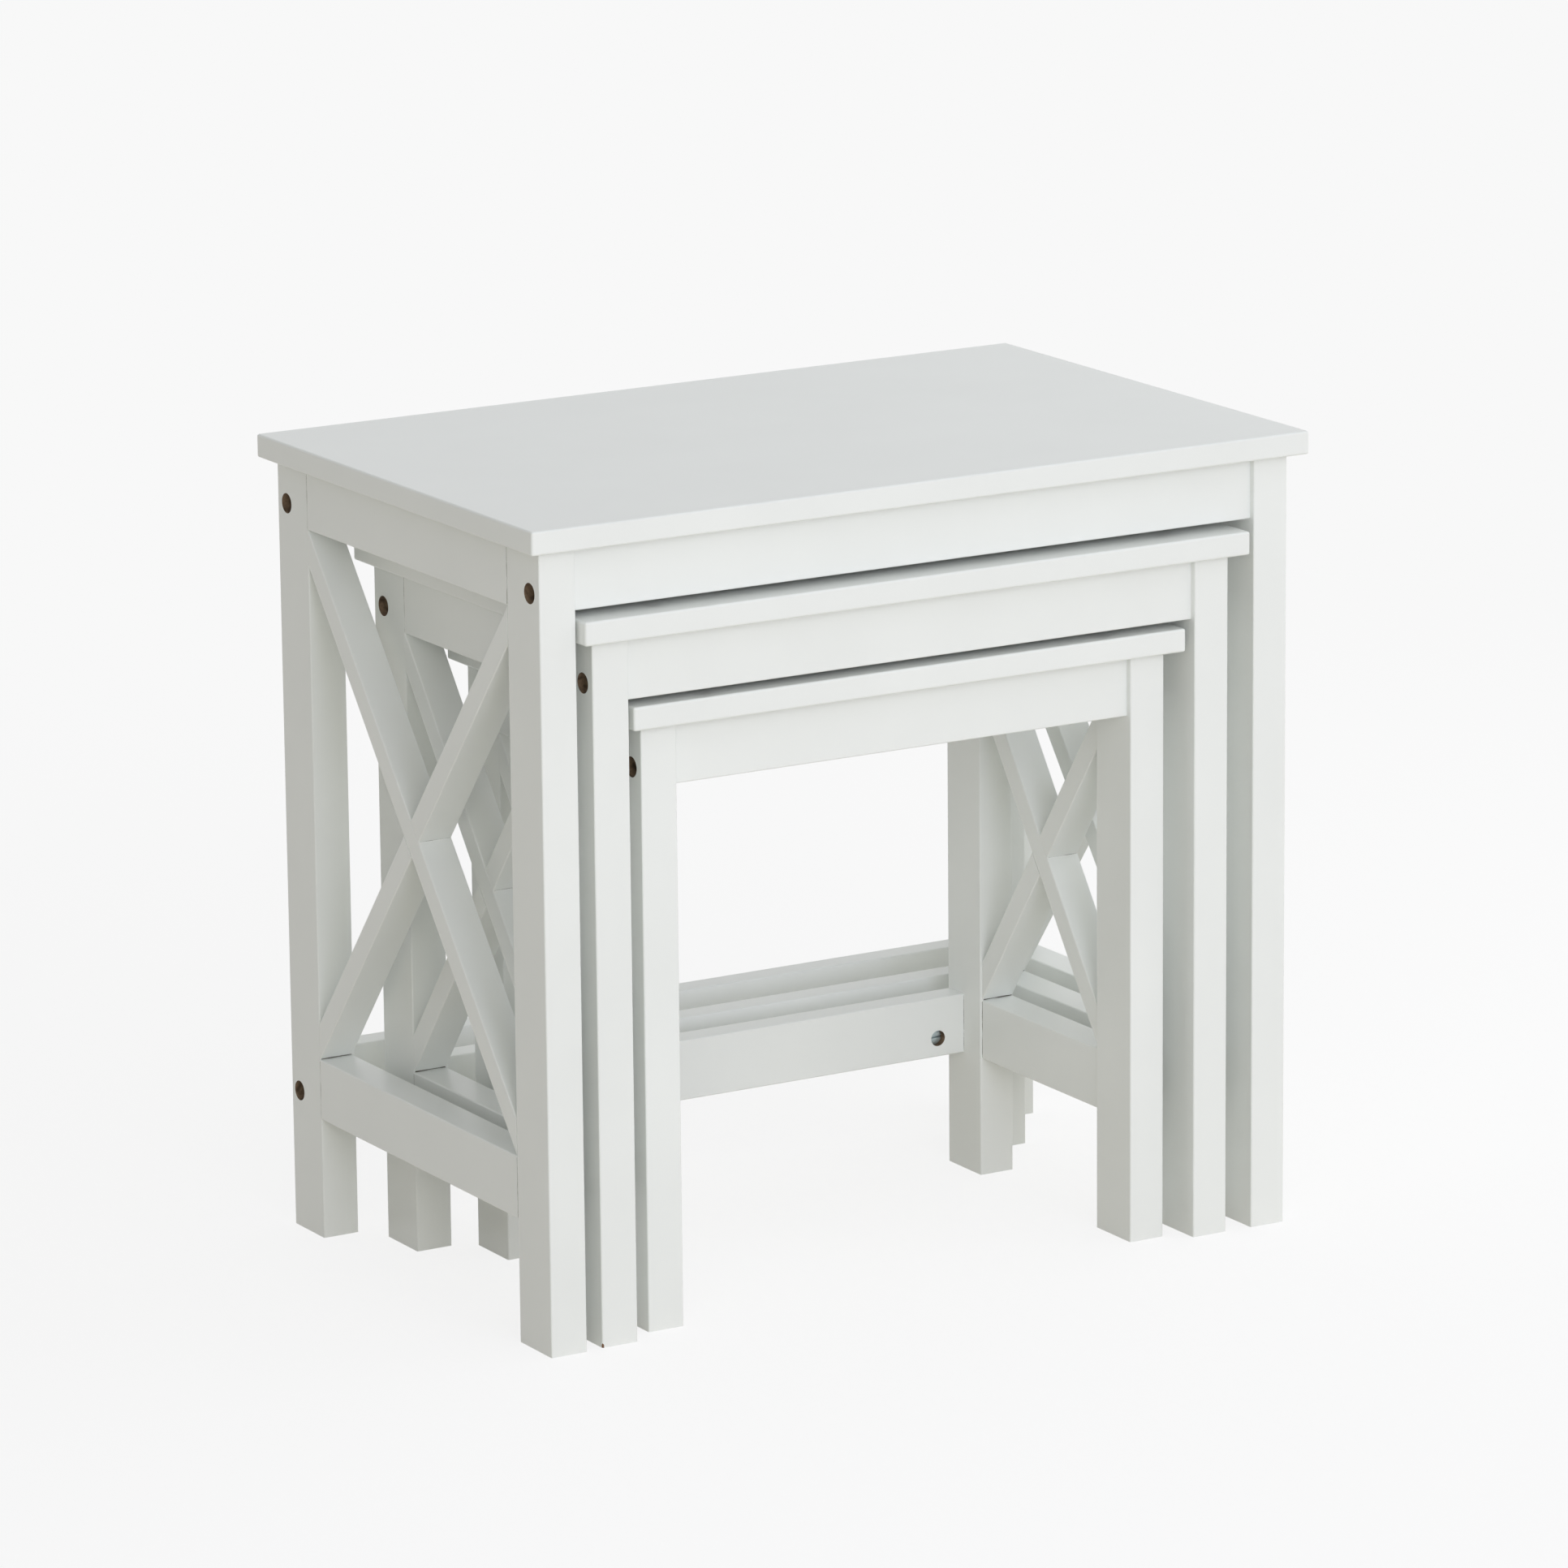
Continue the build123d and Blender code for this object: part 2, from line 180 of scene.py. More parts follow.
# %% Drilled raw wood
FIBRE_WIDTH = 0.7 * MM
FIBRE_DEPTH = 0.2 * MM
SCORCH_WIDTH = 5 * MM
SCORCH_SPREAD = (0.45, 0.75)
TORN_ROUGHNESS = 0.9

drilled_wood, tree = new_finish("drilled_raw_wood")
where = add_node(tree, "ShaderNodeTexCoord").outputs["Object"]
fibre = add_node(tree, "ShaderNodeTexNoise", {"Vector": where, "Scale": 1 / FIBRE_WIDTH, "Detail": 2.0})
scorch = add_node(tree, "ShaderNodeTexNoise", {"Vector": where, "Scale": 1 / SCORCH_WIDTH, "Detail": 1.0})
fibres = add_node(
    tree,
    "ShaderNodeMix",
    {0: fibre.outputs["Fac"], 6: linear("#66503f"), 7: linear("#a08b72")},
    data_type="RGBA",
).outputs[2]
scorched = add_node(
    tree,
    "ShaderNodeMapRange",
    {"Value": scorch.outputs["Fac"], "From Min": SCORCH_SPREAD[0], "From Max": SCORCH_SPREAD[1]},
)
colour = add_node(
    tree, "ShaderNodeMix", {0: scorched.outputs[0], 6: fibres, 7: linear("#4f3f31")}, data_type="RGBA"
).outputs[2]
torn = add_node(tree, "ShaderNodeBump", {"Height": fibre.outputs["Fac"], "Distance": FIBRE_DEPTH})
surface = add_node(
    tree,
    "ShaderNodeBsdfPrincipled",
    {"Base Color": colour, "Roughness": TORN_ROUGHNESS, "Normal": torn.outputs[0]},
)
add_node(tree, "ShaderNodeOutputMaterial", {"Surface": surface.outputs[0]})
print("fibres of", round(FIBRE_WIDTH / MM, 1), "mm in the holes")

# %% [markdown]
# ## Putting the finishes on the wood
#
# Each wooden piece is one closed mesh, holes and all. The lacquer could go on the whole piece, but then
# the holes would be white inside, where the real ones are brown. Every face further than a millimetre or
# so below all six sides of the piece's own box lies in a hole, so a face's depth is enough to sort it.
# The braces lie aslant in their boxes and have no holes, so they are lacquered all over.

# %% Lacquer outside, bare wood inside the holes
TABLES = ("large", "middle", "small")
SIDES = {"left": -1, "right": 1}
PAINT_REACH = 0.9 * MM
HARDWARE = ("bolts", "barrel_nuts", "dowels", "top_screws")


def finish_wood(name):
    """Lacquer one wooden piece, and leave the walls of its holes bare. Returns the count of bare faces."""
    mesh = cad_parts[name].data
    low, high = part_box(name)
    mesh.materials.clear()
    mesh.materials.append(satin_lacquer)
    mesh.materials.append(drilled_wood)
    bare = 0
    for face in mesh.polygons:
        depth = min(min(face.center[i] - low[i], high[i] - face.center[i]) for i in range(3))
        in_hole = depth > PAINT_REACH and "brace" not in name
        face.material_index = int(in_hole)
        bare += in_hole
    return bare


wooden = [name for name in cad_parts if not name.endswith(HARDWARE)]
bare_faces = sum(finish_wood(name) for name in wooden)
print("lacquered", len(wooden), "pieces, with", bare_faces, "bare faces in their holes")

# %% [markdown]
# ## Zinc-plated steel
#
# Bolts, barrel nuts and screws are cut from steel bar and zinc plated, then passivated, which leaves a
# faintly blue grey metal. The plating softens the turning marks but does not hide them, and its dull bloom
# varies over a few millimetres. Metal takes its colour in the reflection, so the colour goes in with
# metallic at 1, and noise in the roughness gives the bloom.

# %% Zinc plating
BLOOM_WIDTH = 3 * MM
ZINC_ROUGHNESS = (0.35, 0.55)
TURNING_WIDTH = 0.5 * MM
TURNING_DEPTH = 0.02 * MM

zinc_plate, tree = new_finish("zinc_plated_steel")
where = add_node(tree, "ShaderNodeTexCoord").outputs["Object"]
bloom = add_node(tree, "ShaderNodeTexNoise", {"Vector": where, "Scale": 1 / BLOOM_WIDTH, "Detail": 2.0})
turning = add_node(tree, "ShaderNodeTexNoise", {"Vector": where, "Scale": 1 / TURNING_WIDTH, "Detail": 1.0})
colour = add_node(
    tree,
    "ShaderNodeMix",
    {0: bloom.outputs["Fac"], 6: linear("#b7c8ce"), 7: linear("#dfeaed")},
    data_type="RGBA",
).outputs[2]
dulled = add_node(
    tree,
    "ShaderNodeMapRange",
    {"Value": bloom.outputs["Fac"], "To Min": ZINC_ROUGHNESS[0], "To Max": ZINC_ROUGHNESS[1]},
)
marks = add_node(tree, "ShaderNodeBump", {"Height": turning.outputs["Fac"], "Distance": TURNING_DEPTH})
surface = add_node(
    tree,
    "ShaderNodeBsdfPrincipled",
    {"Base Color": colour, "Metallic": 1.0, "Roughness": dulled.outputs[0], "Normal": marks.outputs[0]},
)
add_node(tree, "ShaderNodeOutputMaterial", {"Surface": surface.outputs[0]})
print("zinc bloom of", round(BLOOM_WIDTH / MM, 1), "mm")

# %% [markdown]
# ## Hardware with Geometry Nodes
#
# Every table has six bolts, six barrel nuts, eight screws and 22 dowels. Modelling one and copying it by
# hand would work, but the copies then have to be placed and turned one by one. A Geometry Nodes tree does
# both: it makes one piece from named sizes, and puts it on every point of a small mesh that marks the
# places. Each point carries a vector, its aim, that says which way the piece faces.
#
# All four kinds are straight and change only in width along their length, so they share one group of nodes.
# A straight line gets a point for each step of the shape, each point's height and radius come from the
# sizes, and Curve to Mesh sweeps a circle, or the dowels' star, that grows and shrinks with the radius.

# %% Helpers for the hardware trees
THREAD_STEPS = 14
RIDGE_CORNERS = 4


def new_tree(name, sizes):
    """A Geometry Nodes tree that takes places, a number for each named size and a whole-number seed."""
    made = bpy.data.node_groups.new(name, "GeometryNodeTree")
    made.interface.new_socket("Places", in_out="INPUT", socket_type="NodeSocketGeometry")
    for size in sizes:
        if size != "Seed":
            made.interface.new_socket(size, in_out="INPUT", socket_type="NodeSocketFloat")
    made.interface.new_socket("Seed", in_out="INPUT", socket_type="NodeSocketInt")
    made.interface.new_socket("Pieces", in_out="OUTPUT", socket_type="NodeSocketGeometry")
    return made, add_node(made, "NodeGroupInput").outputs


def turned(tree, steps, profile):
    """Sweep a profile curve up a straight line through (height, radius) steps, closed at both ends."""
    line = add_node(tree, "GeometryNodeMeshLine", {"Count": len(steps)})
    index = add_node(tree, "GeometryNodeInputIndex").outputs[0]
    heights = add_node(tree, "GeometryNodeIndexSwitch", data_type="FLOAT")
    radii = add_node(tree, "GeometryNodeIndexSwitch", data_type="FLOAT")
    for column, switch in enumerate((heights, radii)):
        while len(switch.index_switch_items) < len(steps):
            switch.index_switch_items.new()
        tree.links.new(index, switch.inputs[0])
        for row, step in enumerate(steps):
            if isinstance(step[column], bpy.types.NodeSocket):
                tree.links.new(step[column], switch.inputs[row + 1])
            else:
                switch.inputs[row + 1].default_value = step[column]
    stand = add_node(tree, "ShaderNodeCombineXYZ", {"Z": heights.outputs[0]})
    placed = add_node(
        tree, "GeometryNodeSetPosition", {"Geometry": line.outputs[0], "Position": stand.outputs[0]}
    )
    path = add_node(tree, "GeometryNodeMeshToCurve", {"Mesh": placed.outputs[0]}).outputs[0]
    return add_node(
        tree,
        "GeometryNodeCurveToMesh",
        {"Curve": path, "Profile Curve": profile, "Scale": radii.outputs[0], "Fill Caps": True},
    ).outputs[0]


def thread(tree, pitch, radius, start, length, ridge):
    """A helical ridge around the Z axis."""
    turns = add_node(tree, "ShaderNodeMath", {0: length, 1: pitch}, operation="DIVIDE")
    helix = add_node(
        tree,
        "GeometryNodeCurveSpiral",
        {
            "Resolution": THREAD_STEPS,
            "Rotations": turns.outputs[0],
            "Start Radius": radius,
            "End Radius": radius,
            "Height": length,
        },
    )
    upright = add_node(tree, "GeometryNodeSetCurveNormal", {"Curve": helix.outputs[0]}, mode="Z_UP")
    crest = add_node(
        tree, "GeometryNodeCurvePrimitiveCircle", {"Resolution": RIDGE_CORNERS, "Radius": ridge}
    )
    wound = add_node(
        tree,
        "GeometryNodeCurveToMesh",
        {"Curve": upright.outputs[0], "Profile Curve": crest.outputs[0], "Fill Caps": True},
    )
    at_start = add_node(tree, "ShaderNodeCombineXYZ", {"Z": start})
    return add_node(
        tree, "GeometryNodeTransform", {"Geometry": wound.outputs[0], "Translation": at_start.outputs[0]}
    ).outputs[0]


def cut_away(tree, body, cutter):
    """Take one solid away from another."""
    return add_node(
        tree,
        "GeometryNodeMeshBoolean",
        {"Mesh 1": body, "Mesh 2": cutter},
        operation="DIFFERENCE",
        solver="EXACT",
    ).outputs[0]


print("hardware helpers ready")

# %% [markdown]
# The last nodes of all four trees are the same too: aim a copy at each place, give it a random turn about
# its own axis unless it has to line up, make the copies real, round the shading of shallow edges, and set
# the finish. On each table the tree then becomes a plain mesh of its own, which rides on that table and
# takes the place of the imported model's plain hardware.

# %% Placing the copies
SMOOTH_BELOW = radians(35)


def place_copies(tree, places, copy, finish, turn, seed, cross_axis):
    """Aim a copy along each place's own vector, turn it, make it real and give it its finish."""
    aim = add_node(tree, "GeometryNodeInputNamedAttribute", {"Name": "aim"}, data_type="FLOAT_VECTOR")
    facing = add_node(tree, "FunctionNodeAlignRotationToVector", {"Vector": aim.outputs[0]}, axis="Z")
    squared = add_node(
        tree,
        "FunctionNodeAlignRotationToVector",
        {"Rotation": facing.outputs[0], "Vector": cross_axis},
        axis="X",
        pivot_axis="Z",
    )
    chance = add_node(tree, "FunctionNodeRandomValue", {2: 0.0, 3: turn, 8: seed}, data_type="FLOAT")
    twist = add_node(
        tree, "FunctionNodeAxisAngleToRotation", {"Axis": (0, 0, 1), "Angle": chance.outputs[1]}
    )
    home = add_node(
        tree,
        "FunctionNodeRotateRotation",
        {"Rotation": squared.outputs[0], "Rotate By": twist.outputs[0]},
        rotation_space="LOCAL",
    )
    copies = add_node(
        tree,
        "GeometryNodeInstanceOnPoints",
        {"Points": places, "Instance": copy, "Rotation": home.outputs[0]},
    )
    real = add_node(tree, "GeometryNodeRealizeInstances", {"Geometry": copies.outputs[0]})
    bend = add_node(tree, "GeometryNodeInputMeshEdgeAngle").outputs["Unsigned Angle"]
    shallow = add_node(tree, "FunctionNodeCompare", {0: bend, 1: SMOOTH_BELOW}, operation="LESS_THAN")
    rounded = add_node(tree, "GeometryNodeSetShadeSmooth", {0: real.outputs[0]}, domain="FACE")
    edged = add_node(
        tree,
        "GeometryNodeSetShadeSmooth",
        {0: rounded.outputs[0], "Shade Smooth": shallow.outputs[0]},
        domain="EDGE",
    )
    done = add_node(tree, "GeometryNodeSetMaterial", {"Geometry": edged.outputs[0], "Material": finish})
    add_node(tree, "NodeGroupOutput", {0: done.outputs[0]})


def marked_places(name, places):
    """A mesh with one point for each place, and the direction that a piece faces there."""
    mesh = bpy.data.meshes.new(name)
    mesh.from_pydata([place for place, _ in places], [], [])
    aims = mesh.attributes.new("aim", "FLOAT_VECTOR", "POINT")
    for entry, (_, direction) in zip(aims.data, places):
        entry.vector = direction
    return mesh


def grow(name, tree, mesh, sizes):
    """Run a tree on a mesh and keep what it makes as a plain mesh."""
    piece = bpy.data.objects.new(name, mesh)
    bpy.context.scene.collection.objects.link(piece)
    modifier = piece.modifiers.new(tree.name, "NODES")
    modifier.node_group = tree
    for item in tree.interface.items_tree:
        if item.name in sizes:
            modifier[item.identifier] = sizes[item.name]
    grown = bpy.data.meshes.new_from_object(piece.evaluated_get(bpy.context.evaluated_depsgraph_get()))
    piece.modifiers.remove(modifier)
    piece.data = grown
    return piece


print("copies are smooth below", round(SMOOTH_BELOW, 2), "rad")

# %% [markdown]
# ## Bolts
#
# The bars along each table are pulled against the legs by socket-head bolts, sunk deep in wide holes in
# the outer faces of the legs. From outside only the dark hole shows, and at the right angle a glint of the
# head with its hexagon socket. The head is turned with an eased rim, a six-sided prism is cut out of it,
# and a helix round the shank makes the thread.

# %% Bolts in the legs
BOLT_SIZES = {
    "Head radius": 5.0 * MM,
    "Head height": 5.0 * MM,
    "Rim": 0.5 * MM,
    "Socket radius": 2.89 * MM,
    "Socket depth": 3.0 * MM,
    "Core radius": 2.55 * MM,
    "Length": 38.0 * MM,
    "Pitch": 1.0 * MM,
    "Ridge": 0.45 * MM,
    "Seed": 3,
}
BOLT_FACETS = 28
BOLT_THREADED = 0.97
BOLT_RISE = 12.5 * MM
BOLT_SEAT = 15.0 * MM
# The least step or radius, so that no two rings of a sweep fall together
HAIR = 0.02 * MM
BARS = {"front_apron": 1, "rear_apron": -1, "rear_stretcher": -1}


def bolt_line(table, bar):
    """Y and Z of the bolts at both ends of a bar."""
    low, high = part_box(f"{table}_{bar}")
    return (low.y + high.y) / 2, low.z + BOLT_RISE


def bolt_places(table):
    """Where each bolt's head seats in its leg, facing out."""
    places = []
    for side, direction in SIDES.items():
        low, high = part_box(f"{table}_front_{side}_leg")
        outer = low.x if direction < 0 else high.x
        for bar in BARS:
            y, z = bolt_line(table, bar)
            places.append((Vector((outer - direction * BOLT_SEAT, y, z)), Vector((direction, 0, 0))))
    return places


bolt_tree, size = new_tree("sunk_bolts", BOLT_SIZES)
tip = add_node(bolt_tree, "ShaderNodeMath", {0: size["Length"], 1: -1.0}, operation="MULTIPLY").outputs[0]
blunt = add_node(bolt_tree, "ShaderNodeMath", {0: tip, 1: size["Rim"]}, operation="ADD").outputs[0]
point = add_node(
    bolt_tree, "ShaderNodeMath", {0: size["Core radius"], 1: size["Rim"]}, operation="SUBTRACT"
).outputs[0]
eased_height = add_node(
    bolt_tree, "ShaderNodeMath", {0: size["Head height"], 1: size["Rim"]}, operation="SUBTRACT"
).outputs[0]
eased_radius = add_node(
    bolt_tree, "ShaderNodeMath", {0: size["Head radius"], 1: size["Rim"]}, operation="SUBTRACT"
).outputs[0]
lathe_circle = add_node(
    bolt_tree, "GeometryNodeCurvePrimitiveCircle", {"Resolution": BOLT_FACETS, "Radius": 1.0}
)
blank = turned(
    bolt_tree,
    [
        (tip, point),
        (blunt, size["Core radius"]),
        (-HAIR, size["Core radius"]),
        (0.0, size["Head radius"]),
        (eased_height, size["Head radius"]),
        (size["Head height"], eased_radius),
    ],
    lathe_circle.outputs[0],
)
double_depth = add_node(
    bolt_tree, "ShaderNodeMath", {0: size["Socket depth"], 1: 2.0}, operation="MULTIPLY"
).outputs[0]
hexagon = add_node(
    bolt_tree,
    "GeometryNodeMeshCylinder",
    {"Vertices": 6, "Radius": size["Socket radius"], "Depth": double_depth},
)
at_top = add_node(bolt_tree, "ShaderNodeCombineXYZ", {"Z": size["Head height"]})
socket = add_node(
    bolt_tree,
    "GeometryNodeTransform",
    {"Geometry": hexagon.outputs[0], "Translation": at_top.outputs[0]},
)
headed = cut_away(bolt_tree, blank, socket.outputs[0])
threaded_length = add_node(
    bolt_tree, "ShaderNodeMath", {0: blunt, 1: -BOLT_THREADED}, operation="MULTIPLY"
).outputs[0]
ridges = thread(
    bolt_tree, size["Pitch"], size["Core radius"], blunt, threaded_length, size["Ridge"]
)
whole = add_node(bolt_tree, "GeometryNodeJoinGeometry")
for part in (headed, ridges):
    bolt_tree.links.new(part, whole.inputs[0])
place_copies(bolt_tree, size["Places"], whole.outputs[0], zinc_plate, 2 * pi, size["Seed"], (0, 1, 0))

for table in TABLES:
    seats = marked_places("bolt_seats", bolt_places(table))
    bolts = grow(f"{table}_sunk_bolts", bolt_tree, seats, BOLT_SIZES)
    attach(bolts, f"{table}_table")
    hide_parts(f"{table}_bolts")
    print(bolts.name, len(bolts.data.polygons), "faces")

# %% [markdown]
# ## Barrel nuts
#
# Each bolt ends in a barrel nut: a short steel cylinder that lies across the bar, with a threaded hole
# through its side and a screwdriver slot in its end to line the thread up with the bolt. One shows in the
# face of the small stretcher, a few millimetres down its hole, its slot level. The slot and the
# cross hole are cut out of the turned blank, and both run along the table, so the nuts are never turned.

# %% Barrel nuts in the bars
NUT_SIZES = {
    "Radius": 5.0 * MM,
    "Half length": 5.0 * MM,
    "Rim": 0.3 * MM,
    "Slot width": 1.4 * MM,
    "Slot depth": 1.6 * MM,
    "Hole radius": 3.05 * MM,
    "Seed": 5,
}
NUT_FACETS = 40
DRILL_FACETS = 28
NUT_INSET = 20.0 * MM
CUTTER_LENGTH = 20.0 * MM


def nut_places(table):
    """The middle of each barrel nut, facing the side of the bar that it goes in from."""
    places = []
    for bar, nut_face in BARS.items():
        low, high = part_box(f"{table}_{bar}")
        y, z = bolt_line(table, bar)
        for x in (low.x + NUT_INSET, high.x - NUT_INSET):
            places.append((Vector((x, y, z)), Vector((0, nut_face, 0))))
    return places


nut_tree, size = new_tree("barrel_nuts", NUT_SIZES)
bottom = add_node(
    nut_tree, "ShaderNodeMath", {0: size["Half length"], 1: -1.0}, operation="MULTIPLY"
).outputs[0]
above_bottom = add_node(nut_tree, "ShaderNodeMath", {0: bottom, 1: size["Rim"]}, operation="ADD").outputs[0]
below_top = add_node(
    nut_tree, "ShaderNodeMath", {0: size["Half length"], 1: size["Rim"]}, operation="SUBTRACT"
).outputs[0]
eased_radius = add_node(
    nut_tree, "ShaderNodeMath", {0: size["Radius"], 1: size["Rim"]}, operation="SUBTRACT"
).outputs[0]
lathe_circle = add_node(
    nut_tree, "GeometryNodeCurvePrimitiveCircle", {"Resolution": NUT_FACETS, "Radius": 1.0}
)
# Half a facet round, so that no edge of the barrel runs into a corner of a cutter
shifted_circle = add_node(
    nut_tree,
    "GeometryNodeTransform",
    {"Geometry": lathe_circle.outputs[0], "Rotation": (0, 0, pi / NUT_FACETS)},
)
blank = turned(
    nut_tree,
    [
        (bottom, eased_radius),
        (above_bottom, size["Radius"]),
        (below_top, size["Radius"]),
        (size["Half length"], eased_radius),
    ],
    shifted_circle.outputs[0],
)
double_depth = add_node(
    nut_tree, "ShaderNodeMath", {0: size["Slot depth"], 1: 2.0}, operation="MULTIPLY"
).outputs[0]
slot_size = add_node(
    nut_tree, "ShaderNodeCombineXYZ", {"X": CUTTER_LENGTH, "Y": size["Slot width"], "Z": double_depth}
)
slot_block = add_node(nut_tree, "GeometryNodeMeshCube", {"Size": slot_size.outputs[0]})
at_top = add_node(nut_tree, "ShaderNodeCombineXYZ", {"Z": size["Half length"]})
slot = add_node(
    nut_tree,
    "GeometryNodeTransform",
    {"Geometry": slot_block.outputs[0], "Translation": at_top.outputs[0]},
)
drill = add_node(
    nut_tree,
    "GeometryNodeMeshCylinder",
    {"Vertices": DRILL_FACETS, "Radius": size["Hole radius"], "Depth": CUTTER_LENGTH},
)
crosswise = add_node(
    nut_tree,
    "GeometryNodeTransform",
    {"Geometry": drill.outputs[0], "Rotation": (0, pi / 2, 0)},
)
slotted = cut_away(nut_tree, blank, slot.outputs[0])
nut = cut_away(nut_tree, slotted, crosswise.outputs[0])
place_copies(nut_tree, size["Places"], nut, zinc_plate, 0.0, size["Seed"], (1, 0, 0))

for table in TABLES:
    middles = marked_places("nut_middles", nut_places(table))
    nuts = grow(f"{table}_cross_nuts", nut_tree, middles, NUT_SIZES)
    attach(nuts, f"{table}_table")
    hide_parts(f"{table}_barrel_nuts")
    print(nuts.name, len(nuts.data.polygons), "faces")

# %% [markdown]
# ## Screws under the tops
#
# Eight screws hold each top down, four through the aprons and four through the upper rails, in sunk holes
# from below. They are pan-head wood screws with a cross recess. The recess is two bars cut out of the head.

# %% Screws under the tops
SCREW_SIZES = {
    "Head radius": 4.0 * MM,
    "Head height": 2.5 * MM,
    "Recess length": 4.4 * MM,
    "Recess width": 1.0 * MM,
    "Recess depth": 1.6 * MM,
    "Core radius": 1.5 * MM,
    "Length": 29.0 * MM,
    "Point": 4.0 * MM,
    "Pitch": 1.8 * MM,
    "Ridge": 0.5 * MM,
    "Seed": 7,
}
SCREW_GRIP = 20.0 * MM
APRON_SCREW_INSET = 60.0 * MM
RAIL_SCREW_INSET = 40.0 * MM
SCREW_FACETS = 24
SCREW_THREADED = 0.95
# The pan head's rounding: heights as shares of the head's height, then widths as shares of its radius
SHOULDER_HEIGHT, RIM_HEIGHT = 0.7, 0.3
CROWN_WIDTH, SHOULDER_WIDTH = 0.62, 0.9


def screw_places(table):
    """Where each screw's head seats, facing up."""
    places = []
    up = Vector((0, 0, 1))
    for apron in ("front_apron", "rear_apron"):
        low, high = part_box(f"{table}_{apron}")
        for x in (low.x + APRON_SCREW_INSET, high.x - APRON_SCREW_INSET):
            places.append((Vector((x, (low.y + high.y) / 2, high.z - SCREW_GRIP)), up))
    for side in SIDES:
        low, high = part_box(f"{table}_{side}_upper_rail")
        for y in (low.y + RAIL_SCREW_INSET, high.y - RAIL_SCREW_INSET):
            places.append((Vector(((low.x + high.x) / 2, y, high.z - SCREW_GRIP)), up))
    return places


screw_tree, size = new_tree("top_screws", SCREW_SIZES)
head_end = add_node(
    screw_tree, "ShaderNodeMath", {0: size["Head height"], 1: -1.0}, operation="MULTIPLY"
).outputs[0]
head_shoulder = add_node(
    screw_tree, "ShaderNodeMath", {0: size["Head height"], 1: -SHOULDER_HEIGHT}, operation="MULTIPLY"
).outputs[0]
head_rim = add_node(
    screw_tree, "ShaderNodeMath", {0: size["Head height"], 1: -RIM_HEIGHT}, operation="MULTIPLY"
).outputs[0]
crown = add_node(
    screw_tree, "ShaderNodeMath", {0: size["Head radius"], 1: CROWN_WIDTH}, operation="MULTIPLY"
).outputs[0]
shoulder = add_node(
    screw_tree, "ShaderNodeMath", {0: size["Head radius"], 1: SHOULDER_WIDTH}, operation="MULTIPLY"
).outputs[0]
taper = add_node(
    screw_tree, "ShaderNodeMath", {0: size["Length"], 1: size["Point"]}, operation="SUBTRACT"
).outputs[0]
lathe_circle = add_node(
    screw_tree, "GeometryNodeCurvePrimitiveCircle", {"Resolution": SCREW_FACETS, "Radius": 1.0}
)
blank = turned(
    screw_tree,
    [
        (head_end, crown),
        (head_shoulder, shoulder),
        (head_rim, size["Head radius"]),
        (0.0, size["Head radius"]),
        (HAIR, size["Core radius"]),
        (taper, size["Core radius"]),
        (size["Length"], HAIR),
    ],
    lathe_circle.outputs[0],
)
double_depth = add_node(
    screw_tree, "ShaderNodeMath", {0: size["Recess depth"], 1: 2.0}, operation="MULTIPLY"
).outputs[0]
at_end = add_node(screw_tree, "ShaderNodeCombineXYZ", {"Z": head_end})
recessed = blank
for quarter in (0.0, pi / 2):
    bar_size = add_node(
        screw_tree,
        "ShaderNodeCombineXYZ",
        {"X": size["Recess length"], "Y": size["Recess width"], "Z": double_depth},
    )
    bar_block = add_node(screw_tree, "GeometryNodeMeshCube", {"Size": bar_size.outputs[0]})
    arm = add_node(
        screw_tree,
        "GeometryNodeTransform",
        {"Geometry": bar_block.outputs[0], "Translation": at_end.outputs[0], "Rotation": (0, 0, quarter)},
    )
    recessed = cut_away(screw_tree, recessed, arm.outputs[0])
threaded_length = add_node(
    screw_tree, "ShaderNodeMath", {0: taper, 1: SCREW_THREADED}, operation="MULTIPLY"
).outputs[0]
ridges = thread(
    screw_tree, size["Pitch"], size["Core radius"], size["Recess width"], threaded_length, size["Ridge"]
)
whole = add_node(screw_tree, "GeometryNodeJoinGeometry")
for part in (recessed, ridges):
    screw_tree.links.new(part, whole.inputs[0])
place_copies(screw_tree, size["Places"], whole.outputs[0], zinc_plate, 2 * pi, size["Seed"], (1, 0, 0))

for table in TABLES:
    seats = marked_places("screw_seats", screw_places(table))
    screws = grow(f"{table}_wood_screws", screw_tree, seats, SCREW_SIZES)
    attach(screws, f"{table}_table")
    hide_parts(f"{table}_top_screws")
    print(screws.name, len(screws.data.polygons), "faces")

# %% [markdown]
# ## Beech dowels
#
# Glued dowels keep the joints in line. They are beech, pressed through a fluting die, so they have sharp
# lengthwise ridges that let the glue past, and chamfered ends. Beech is a pale pinkish brown with short
# dark flecks along the grain. The dowels lie along and across the table, so the grain can't follow the
# table's own axes: each vertex keeps its place on the upright dowel in an attribute, and the material
# stretches its noise along that dowel's length.

# %% Raw beech
FLECK_WIDTH = 0.5 * MM
FLECK_STRETCH = 12.0
FLECK_DEPTH = 0.05 * MM
BEECH_ROUGHNESS = 0.7

